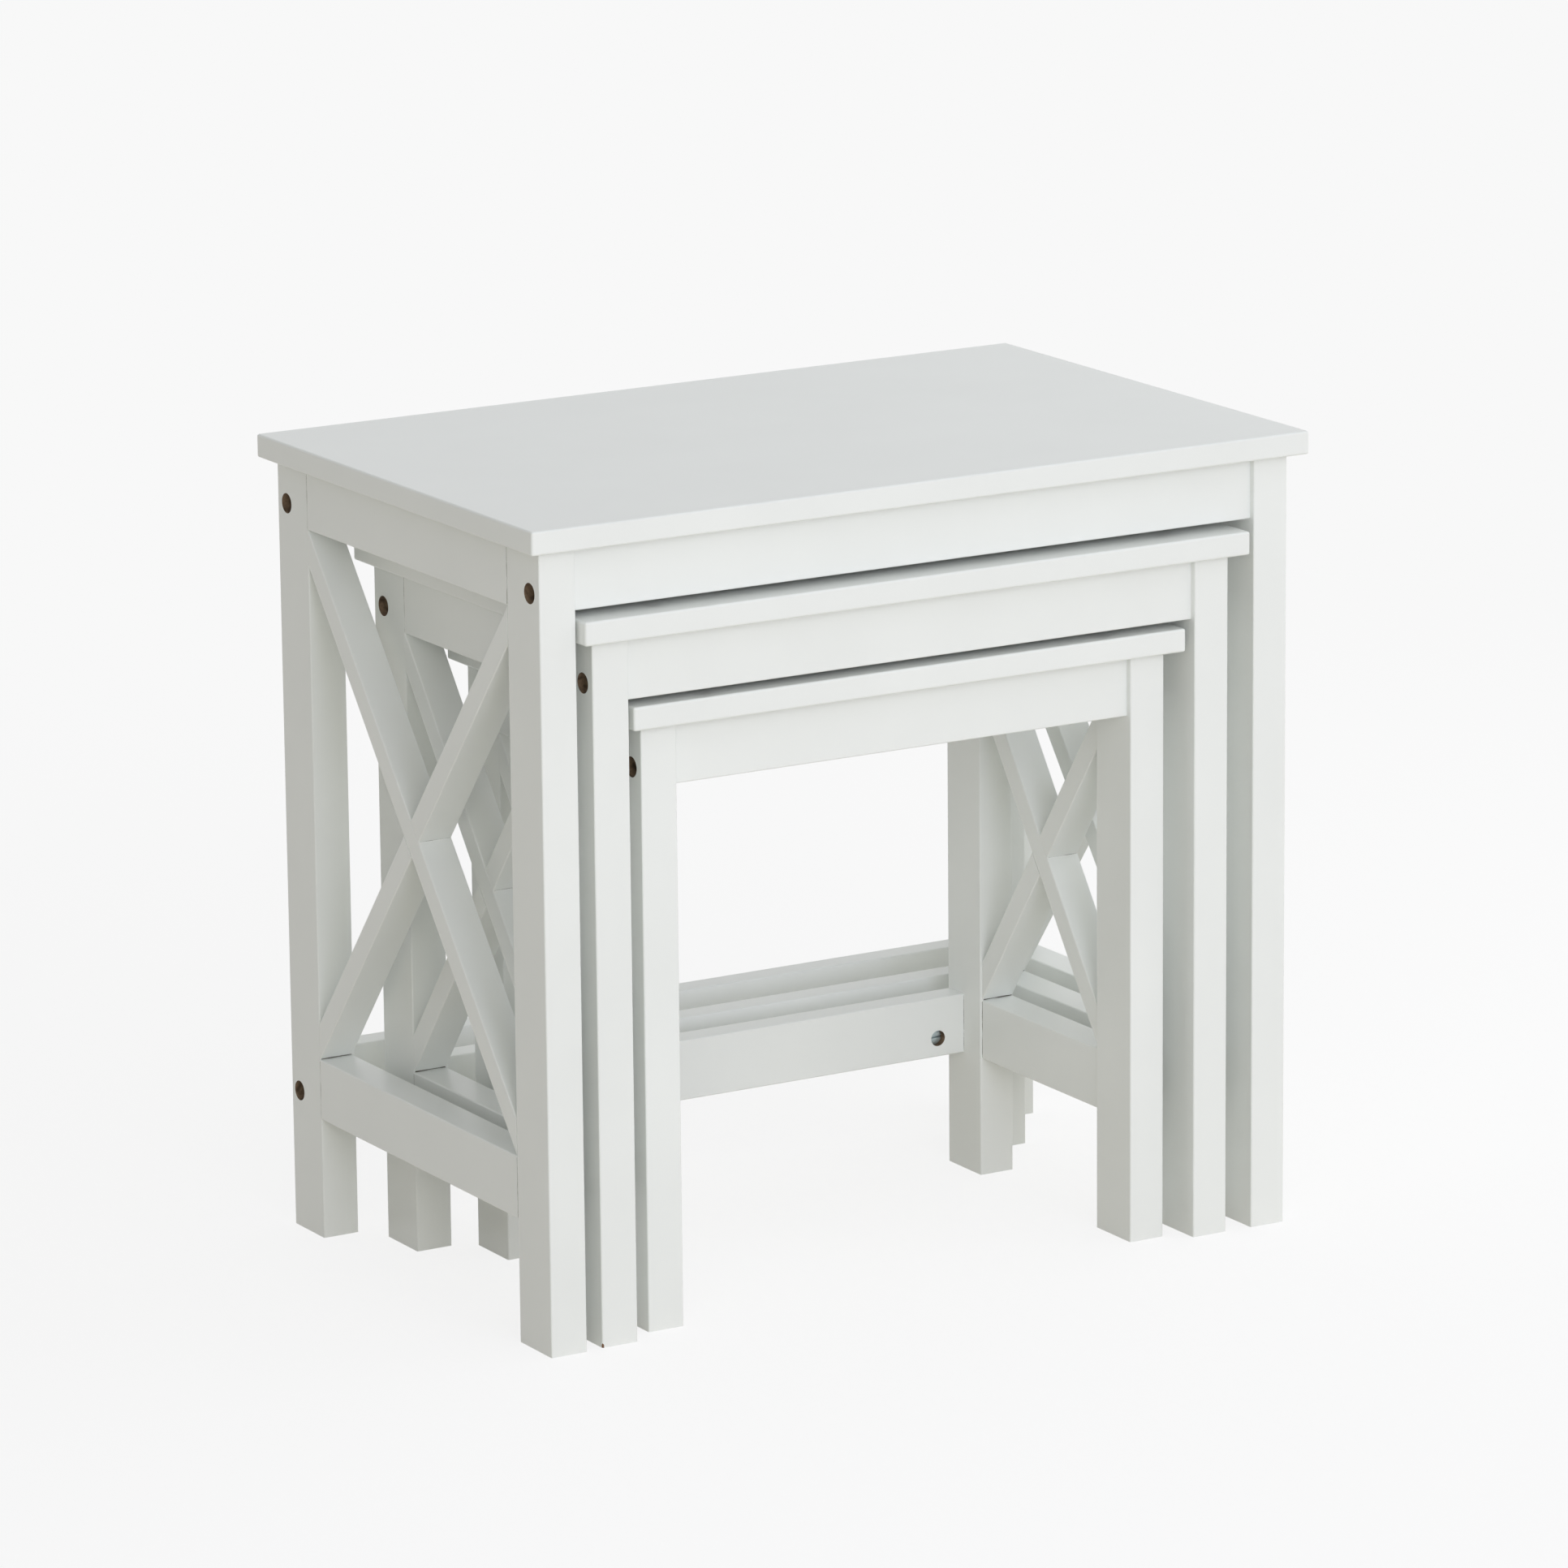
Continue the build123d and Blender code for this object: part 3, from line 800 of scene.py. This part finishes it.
raw_beech, tree = new_finish("raw_beech")
grain_at = add_node(tree, "ShaderNodeAttribute", attribute_name="grain_place").outputs["Vector"]
along = add_node(
    tree, "ShaderNodeMapping", {"Vector": grain_at, "Scale": (1.0, 1.0, 1 / FLECK_STRETCH)}
).outputs[0]
fleck = add_node(tree, "ShaderNodeTexNoise", {"Vector": along, "Scale": 1 / FLECK_WIDTH, "Detail": 2.0})
colour = add_node(
    tree,
    "ShaderNodeMix",
    {0: fleck.outputs["Fac"], 6: linear("#a9794f"), 7: linear("#dbb88e")},
    data_type="RGBA",
).outputs[2]
ridged = add_node(tree, "ShaderNodeBump", {"Height": fleck.outputs["Fac"], "Distance": FLECK_DEPTH})
surface = add_node(
    tree,
    "ShaderNodeBsdfPrincipled",
    {"Base Color": colour, "Roughness": BEECH_ROUGHNESS, "Normal": ridged.outputs[0]},
)
add_node(tree, "ShaderNodeOutputMaterial", {"Surface": surface.outputs[0]})
print("beech flecks of", round(FLECK_WIDTH / MM, 1), "by", round(FLECK_WIDTH * FLECK_STRETCH / MM, 1), "mm")

# %% Fluted dowels
DOWEL_SIZES = {
    "Radius": 4.0 * MM,
    "Flute depth": 0.35 * MM,
    "Length in bar": 19.0 * MM,
    "Length in leg": 16.0 * MM,
    "Chamfer": 1.0 * MM,
    "Seed": 11,
}
DOWEL_RISE = 27.5 * MM
RAIL_DOWEL_EDGE = 10.0 * MM
CHAMFERED = 0.78
FLUTES = 20


def dowel_places(table):
    """The joint that each dowel crosses, facing into the leg."""
    places = []
    for bar in BARS:
        low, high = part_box(f"{table}_{bar}")
        y = (low.y + high.y) / 2
        for x, direction in ((low.x, -1), (high.x, 1)):
            places.append((Vector((x, y, low.z + DOWEL_RISE)), Vector((direction, 0, 0))))
    for side in SIDES:
        for level in ("upper", "lower"):
            low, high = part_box(f"{table}_{side}_{level}_rail")
            x = (low.x + high.x) / 2
            for z in (low.z + RAIL_DOWEL_EDGE, high.z - RAIL_DOWEL_EDGE):
                places.append((Vector((x, low.y, z)), Vector((0, -1, 0))))
                places.append((Vector((x, high.y, z)), Vector((0, 1, 0))))
    return places


dowel_tree, size = new_tree("fluted_dowels", DOWEL_SIZES)
inner_radius = add_node(
    dowel_tree, "ShaderNodeMath", {0: size["Radius"], 1: size["Flute depth"]}, operation="SUBTRACT"
).outputs[0]
flutes = add_node(
    dowel_tree,
    "GeometryNodeCurveStar",
    {"Points": FLUTES, "Inner Radius": inner_radius, "Outer Radius": size["Radius"]},
)
bar_end = add_node(
    dowel_tree, "ShaderNodeMath", {0: size["Length in bar"], 1: -1.0}, operation="MULTIPLY"
).outputs[0]
bar_chamfer = add_node(
    dowel_tree, "ShaderNodeMath", {0: bar_end, 1: size["Chamfer"]}, operation="ADD"
).outputs[0]
leg_chamfer = add_node(
    dowel_tree, "ShaderNodeMath", {0: size["Length in leg"], 1: size["Chamfer"]}, operation="SUBTRACT"
).outputs[0]
dowel = turned(
    dowel_tree,
    [
        (bar_end, CHAMFERED),
        (bar_chamfer, 1.0),
        (leg_chamfer, 1.0),
        (size["Length in leg"], CHAMFERED),
    ],
    flutes.outputs[0],
)
here = add_node(dowel_tree, "GeometryNodeInputPosition").outputs[0]
grained = add_node(
    dowel_tree,
    "GeometryNodeStoreNamedAttribute",
    {"Geometry": dowel, "Name": "grain_place", "Value": here},
    data_type="FLOAT_VECTOR",
    domain="POINT",
)
place_copies(
    dowel_tree, size["Places"], grained.outputs[0], raw_beech, 2 * pi, size["Seed"], (0, 0, 1)
)

for table in TABLES:
    joints = marked_places("dowel_joints", dowel_places(table))
    dowels = grow(f"{table}_fluted_dowels", dowel_tree, joints, DOWEL_SIZES)
    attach(dowels, f"{table}_table")
    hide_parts(f"{table}_dowels")
    print(dowels.name, len(dowels.data.polygons), "faces")

# %% [markdown]
# ## Open joints and their painted shade
#
# The frames are sprayed before they are put together, so the paint does not bridge every joint. Where the
# braces cross, and where rails and stretcher meet a leg, a hairline stays open in the corner, a few tenths
# of a millimetre wide, and broken where paint or glue has filled it. The shade down in the hairline is
# painted: a thin tube of dark colour lies in the corner. Under the foot of each brace the gap is wider and
# runs right through. Each hairline is a mesh edge in the corner, with a number that says how wide it gapes.
# Geometry Nodes turns the edges into curves, lets noise open and close their radius, and sweeps a small
# circle along them, so the seams of painted shade never repeat.

# %% Painted shade of an open joint
SHADE_MOTTLE_WIDTH = 4 * MM
JOINT_SHADE_ROUGHNESS = 0.95

# The dark colour is painted shade. It stands for the shade deep in an open joint, and noise mottles it.
painted_joint_shade, tree = new_finish("painted_shade_of_an_open_joint")
where = add_node(tree, "ShaderNodeTexCoord").outputs["Object"]
shade_mottle = add_node(tree, "ShaderNodeTexNoise", {"Vector": where, "Scale": 1 / SHADE_MOTTLE_WIDTH, "Detail": 2.0})
colour = add_node(
    tree,
    "ShaderNodeMix",
    {0: shade_mottle.outputs["Fac"], 6: linear("#45423c"), 7: linear("#7d7568")},
    data_type="RGBA",
).outputs[2]
surface = add_node(tree, "ShaderNodeBsdfPrincipled", {"Base Color": colour, "Roughness": JOINT_SHADE_ROUGHNESS})
add_node(tree, "ShaderNodeOutputMaterial", {"Surface": surface.outputs[0]})
print("open joints are", painted_joint_shade.name)

# %% Where the joints stay open
BRACE_WIDTH = 15.0 * MM
EDGE_RADIUS = 1.0 * MM
FOOT_REACH = 0.1 * MM
CORNER_GAPE = 0.8
INNER_GAPE = 1.0
OUTER_GAPE = 0.45
FOOT_GAPE = 1.2


def crossing_corners(table, side):
    """The four inside corners of a cross of braces, each a line along X."""
    low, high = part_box(f"{table}_{side}_long_brace")
    _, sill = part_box(f"{table}_{side}_lower_rail")
    run, rise = high.y - low.y, high.z - sill.z
    slope = atan2(rise, run) - asin(BRACE_WIDTH / hypot(rise, run))
    middle_y = (low.y + high.y) / 2
    middle_z = (sill.z + high.z) / 2
    across, up = BRACE_WIDTH / 2 / sin(slope), BRACE_WIDTH / 2 / cos(slope)
    corners = [(middle_y - across, middle_z), (middle_y + across, middle_z)]
    corners += [(middle_y, middle_z - up), (middle_y, middle_z + up)]
    near, far = low.x + EDGE_RADIUS, high.x - EDGE_RADIUS
    return [(Vector((near, y, z)), Vector((far, y, z)), CORNER_GAPE) for y, z in corners]


def brace_feet(table, side):
    """Lines along X at both edges of each brace's foot, in the gap above the lower rail."""
    _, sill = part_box(f"{table}_{side}_lower_rail")
    lines = []
    for kind in ("long_brace", "short_braces"):
        low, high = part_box(f"{table}_{side}_{kind}")
        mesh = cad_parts[f"{table}_{side}_{kind}"].data
        foot = [vertex.co.y for vertex in mesh.vertices if vertex.co.z < low.z + FOOT_REACH]
        near, far = low.x + EDGE_RADIUS, high.x - EDGE_RADIUS
        z = (sill.z + low.z) / 2
        lines += [(Vector((near, y, z)), Vector((far, y, z)), FOOT_GAPE) for y in (min(foot), max(foot))]
    return lines


def rail_seams(table, side):
    """Upright lines where both faces of a rail meet the legs."""
    lines = []
    for level in ("upper", "lower"):
        low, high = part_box(f"{table}_{side}_{level}_rail")
        inner, outer = (high.x, low.x) if SIDES[side] < 0 else (low.x, high.x)
        bottom, top = low.z + EDGE_RADIUS, high.z - EDGE_RADIUS
        for y in (low.y, high.y):
            lines.append((Vector((inner, y, bottom)), Vector((inner, y, top)), INNER_GAPE))
            lines.append((Vector((outer, y, bottom)), Vector((outer, y, top)), OUTER_GAPE))
    return lines


def stretcher_seams(table):
    """Upright lines where the stretcher's front meets the legs."""
    low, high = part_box(f"{table}_rear_stretcher")
    bottom, top = low.z + EDGE_RADIUS, high.z - EDGE_RADIUS
    return [(Vector((x, low.y, bottom)), Vector((x, low.y, top)), INNER_GAPE) for x in (low.x, high.x)]


def joint_lines(table):
    """Every open joint of a table as a mesh of loose edges, whose points say how wide it gapes."""
    lines = stretcher_seams(table)
    for side in SIDES:
        lines += crossing_corners(table, side) + brace_feet(table, side) + rail_seams(table, side)
    mesh = bpy.data.meshes.new("joint_lines")
    points = [point for line in lines for point in line[:2]]
    mesh.from_pydata(points, [(2 * i, 2 * i + 1) for i in range(len(lines))], [])
    gapes = mesh.attributes.new("gape", "FLOAT", "POINT")
    for number, entry in enumerate(gapes.data):
        entry.value = lines[number // 2][2]
    return mesh


print("a table has", len(joint_lines("large").edges), "open joints")

# %% Seams of painted shade that open and close
SEAM_SIZES = {
    "Widest": 0.42 * MM,
    "Step": 0.8 * MM,
    "Break": 9.0 * MM,
    "Seed": 13,
}
SEAM_OPENING = (0.38, 0.68)
SEAM_FACETS = 6

seam_tree, size = new_tree("painted_seam_shade", SEAM_SIZES)
path = add_node(seam_tree, "GeometryNodeMeshToCurve", {"Mesh": size["Places"]})
fine = add_node(
    seam_tree,
    "GeometryNodeResampleCurve",
    {"Curve": path.outputs[0], "Length": size["Step"]},
    mode="LENGTH",
)
breaks = add_node(seam_tree, "ShaderNodeMath", {0: 1.0, 1: size["Break"]}, operation="DIVIDE")
flow = add_node(
    seam_tree,
    "ShaderNodeTexNoise",
    {"W": size["Seed"], "Scale": breaks.outputs[0], "Detail": 3.0},
    noise_dimensions="4D",
)
opened = add_node(
    seam_tree,
    "ShaderNodeMapRange",
    {"Value": flow.outputs["Fac"], "From Min": SEAM_OPENING[0], "From Max": SEAM_OPENING[1]},
)
gape = add_node(
    seam_tree, "GeometryNodeInputNamedAttribute", {"Name": "gape"}, data_type="FLOAT"
).outputs[0]
unbroken = add_node(seam_tree, "ShaderNodeMath", {0: gape, 1: 1.0}, operation="SUBTRACT")
parted = add_node(
    seam_tree, "ShaderNodeMath", {0: opened.outputs[0], 1: unbroken.outputs[0]}, operation="MAXIMUM"
)
share = add_node(seam_tree, "ShaderNodeMath", {0: parted.outputs[0], 1: gape}, operation="MULTIPLY")
half = add_node(seam_tree, "ShaderNodeMath", {0: size["Widest"], 1: 0.5}, operation="MULTIPLY")
radius = add_node(
    seam_tree,
    "ShaderNodeMath",
    {0: share.outputs[0], 1: half.outputs[0], 2: HAIR},
    operation="MULTIPLY_ADD",
)
ring = add_node(
    seam_tree, "GeometryNodeCurvePrimitiveCircle", {"Resolution": SEAM_FACETS, "Radius": 1.0}
)
swept = add_node(
    seam_tree,
    "GeometryNodeCurveToMesh",
    {
        "Curve": fine.outputs[0],
        "Profile Curve": ring.outputs[0],
        "Scale": radius.outputs[0],
        "Fill Caps": True,
    },
)
real = add_node(seam_tree, "GeometryNodeRealizeInstances", {"Geometry": swept.outputs[0]})
# Each tube takes the painted shade of an open joint as its colour.
done = add_node(seam_tree, "GeometryNodeSetMaterial", {"Geometry": real.outputs[0], "Material": painted_joint_shade})
add_node(seam_tree, "NodeGroupOutput", {0: done.outputs[0]})

for table in TABLES:
    seams = grow(f"{table}_painted_seam_shade", seam_tree, joint_lines(table), SEAM_SIZES)
    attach(seams, f"{table}_table")
    print(seams.name, len(seams.data.polygons), "faces")

# %% [markdown]
# ## Floor
#
# The tables stand on a pale studio sweep that is as bright as the air behind it. A plain white floor would
# need so much light to look that bright that the white tables would burn out. So for rays from the camera,
# and for those that come off glossy pieces, most of the floor's brightness is set outright, and the rest is
# a matt white that still takes the tables' shadow. Away from the tables the matt share fades out, so that
# the floor runs evenly into the background. All other rays meet only the matt floor, which gives the
# undersides their light.

# %% Studio floor
BACKGROUND = "#f8f8f8"
FLOOR_HALF = 40.0
FLOOR_OWN_LIGHT = 0.80
SHADOW_REACH = (0.7, 2.0)
FLOOR_DROP = 0.05 * MM


def rays_that_show(tree):
    """1 for rays from the camera, off gloss or through glass, and 0 for all others."""
    ray = add_node(tree, "ShaderNodeLightPath").outputs
    seen = add_node(
        tree, "ShaderNodeMath", {0: ray["Is Camera Ray"], 1: ray["Is Glossy Ray"]}, operation="MAXIMUM"
    )
    return add_node(
        tree, "ShaderNodeMath", {0: seen.outputs[0], 1: ray["Is Transmission Ray"]}, operation="MAXIMUM"
    ).outputs[0]


floor_paper, tree = new_finish("studio_paper")
shown = rays_that_show(tree)
where = add_node(tree, "ShaderNodeTexCoord").outputs["Object"]
distance = add_node(tree, "ShaderNodeVectorMath", {0: where}, operation="LENGTH").outputs["Value"]
far_off = add_node(
    tree,
    "ShaderNodeMapRange",
    {"Value": distance, "From Min": SHADOW_REACH[0], "From Max": SHADOW_REACH[1]},
    interpolation_type="SMOOTHSTEP",
).outputs[0]
own_light = add_node(
    tree,
    "ShaderNodeMath",
    {0: far_off, 1: 1.0 - FLOOR_OWN_LIGHT, 2: FLOOR_OWN_LIGHT},
    operation="MULTIPLY_ADD",
).outputs[0]
share = add_node(tree, "ShaderNodeMath", {0: shown, 1: own_light}, operation="MULTIPLY")
matt_colour = add_node(
    tree,
    "ShaderNodeMix",
    {0: shown, 6: linear("#dfd9cb"), 7: linear("#ffffff")},
    data_type="RGBA",
).outputs[2]
matt = add_node(tree, "ShaderNodeBsdfDiffuse", {"Color": matt_colour})
own_colour = add_node(
    tree,
    "ShaderNodeMix",
    {0: far_off, 6: linear("#ffffff"), 7: linear(BACKGROUND)},
    data_type="RGBA",
).outputs[2]
bright = add_node(tree, "ShaderNodeEmission", {"Color": own_colour, "Strength": 1.0})
paper = add_node(
    tree, "ShaderNodeMixShader", {0: share.outputs[0], 1: matt.outputs[0], 2: bright.outputs[0]}
)
add_node(tree, "ShaderNodeOutputMaterial", {"Surface": paper.outputs[0]})

floor_mesh = bpy.data.meshes.new("studio_floor")
quarters = [(-1, -1), (1, -1), (1, 1), (-1, 1)]
floor_corners = [(x * FLOOR_HALF, y * FLOOR_HALF, -FLOOR_DROP) for x, y in quarters]
floor_mesh.from_pydata(floor_corners, [], [(0, 1, 2, 3)])
floor_mesh.materials.append(floor_paper)
floor = bpy.data.objects.new("studio_floor", floor_mesh)
bpy.context.scene.collection.objects.link(floor)
print("floor is", 2 * FLOOR_HALF, "m square")

# %% [markdown]
# ## Light
#
# In the photograph the fronts are brightest, the tops a little darker and lighter towards the right, the
# left ends a good deal darker, and the low bars deep inside are still well lit. So most of the light comes
# in from the front, low enough to reach under the tops, with a softer share over the right end, in a room
# whose front and back walls are its bright ones. The world gives the walls, and shows the background colour
# to rays that are seen. Five large soft boxes give the rest. In low views the satin tops would mirror them
# as white patches, so the boxes are hidden from glossy rays, which meet the even background instead.

# %% Bright walls of the room
FRONT_WALL = 1.18
BACK_WALL = 1.08

room = bpy.data.worlds.new("studio_room")
room.use_nodes = True
tree = room.node_tree
tree.nodes.clear()
shown = rays_that_show(tree)
direction = add_node(tree, "ShaderNodeTexCoord").outputs["Generated"]
backwards = add_node(tree, "ShaderNodeSeparateXYZ", {0: direction}).outputs["Y"]
to_front = add_node(tree, "ShaderNodeMath", {0: backwards, 1: 0.0}, operation="MINIMUM").outputs[0]
to_back = add_node(tree, "ShaderNodeMath", {0: backwards, 1: 0.0}, operation="MAXIMUM").outputs[0]
front_light = add_node(
    tree, "ShaderNodeMath", {0: to_front, 1: -FRONT_WALL}, operation="MULTIPLY"
).outputs[0]
wall_light = add_node(
    tree, "ShaderNodeMath", {0: to_back, 1: BACK_WALL, 2: front_light}, operation="MULTIPLY_ADD"
).outputs[0]
walls = add_node(tree, "ShaderNodeBackground", {"Color": linear("#ffffff"), "Strength": wall_light})
backdrop = add_node(tree, "ShaderNodeBackground", {"Color": linear(BACKGROUND), "Strength": 1.0})
either = add_node(
    tree, "ShaderNodeMixShader", {0: shown, 1: walls.outputs[0], 2: backdrop.outputs[0]}
)
add_node(tree, "ShaderNodeOutputWorld", {"Surface": either.outputs[0]})
bpy.context.scene.world = room
bpy.context.scene.view_settings.view_transform = "Standard"
print("walls of strength", FRONT_WALL, "and", BACK_WALL)

# %% Soft boxes
# Each has its place, the height that it is aimed at, its size in metres, its watts and its colour
SOFT_BOXES = {
    "front_left": ((-1.6, -2.6, 1.1), 0.25, 1.4, 7.5, (1.0, 0.98, 0.84)),
    "front": ((-0.2, -3.0, 1.0), 0.25, 1.6, 19.5, (0.80, 0.82, 1.0)),
    "overhead": ((0.9, -0.3, 2.3), 0.50, 1.6, 2.6, (0.93, 0.97, 1.0)),
    "high_right": ((1.8, -0.6, 1.7), 0.40, 1.6, 8.0, (0.95, 0.98, 1.0)),
    "back_right": ((2.6, 0.6, 1.1), 0.40, 2.2, 18.0, (1.0, 1.0, 1.0)),
}

for name, (place, aim_height, box_size, watts, tint) in SOFT_BOXES.items():
    lamp = bpy.data.lights.new(name, "AREA")
    lamp.shape = "SQUARE"
    lamp.size = box_size
    lamp.energy = watts
    lamp.color = tint
    soft_box = bpy.data.objects.new(name, lamp)
    soft_box.location = place
    beam = Vector((0, 0, aim_height)) - soft_box.location
    soft_box.rotation_euler = beam.to_track_quat("-Z", "Y").to_euler()
    soft_box.visible_glossy = False
    bpy.context.scene.collection.objects.link(soft_box)
    print(name, watts, "W at", round(beam.length, 2), "m")

# %% [markdown]
# ## Camera
#
# The photograph was taken from a few metres away with a long lens, from the front left and a little above.
# The straight edges of the tables give the angle, the distance and the lens, down to half a degree of roll.

# %% Camera
AZIMUTH = radians(-30.5983)
ELEVATION = radians(13.7691)
ROLL = radians(-0.5524)
DISTANCE = 5.27375
TARGET = Vector((-0.00026, 0.001, 0.29135))
FOCAL_PIXELS = 10191.99
IMAGE_PIXELS = 1932
SENSOR_MM = 36.0

backward = Vector((sin(AZIMUTH) * cos(ELEVATION), -cos(AZIMUTH) * cos(ELEVATION), sin(ELEVATION)))
level = Vector((cos(AZIMUTH), sin(AZIMUTH), 0.0))
upward = backward.cross(level)
right = level * cos(ROLL) + upward * sin(ROLL)
up = upward * cos(ROLL) - level * sin(ROLL)
view = bpy.data.cameras.new("photo_view")
view.sensor_width = SENSOR_MM
view.lens = FOCAL_PIXELS / IMAGE_PIXELS * SENSOR_MM
camera = bpy.data.objects.new("photo_view", view)
camera.matrix_world = (
    Matrix.Translation(TARGET + backward * DISTANCE) @ Matrix((right, up, backward)).transposed().to_4x4()
)
bpy.context.scene.collection.objects.link(camera)
bpy.context.scene.camera = camera
print("camera lens", round(view.lens, 1), "mm")
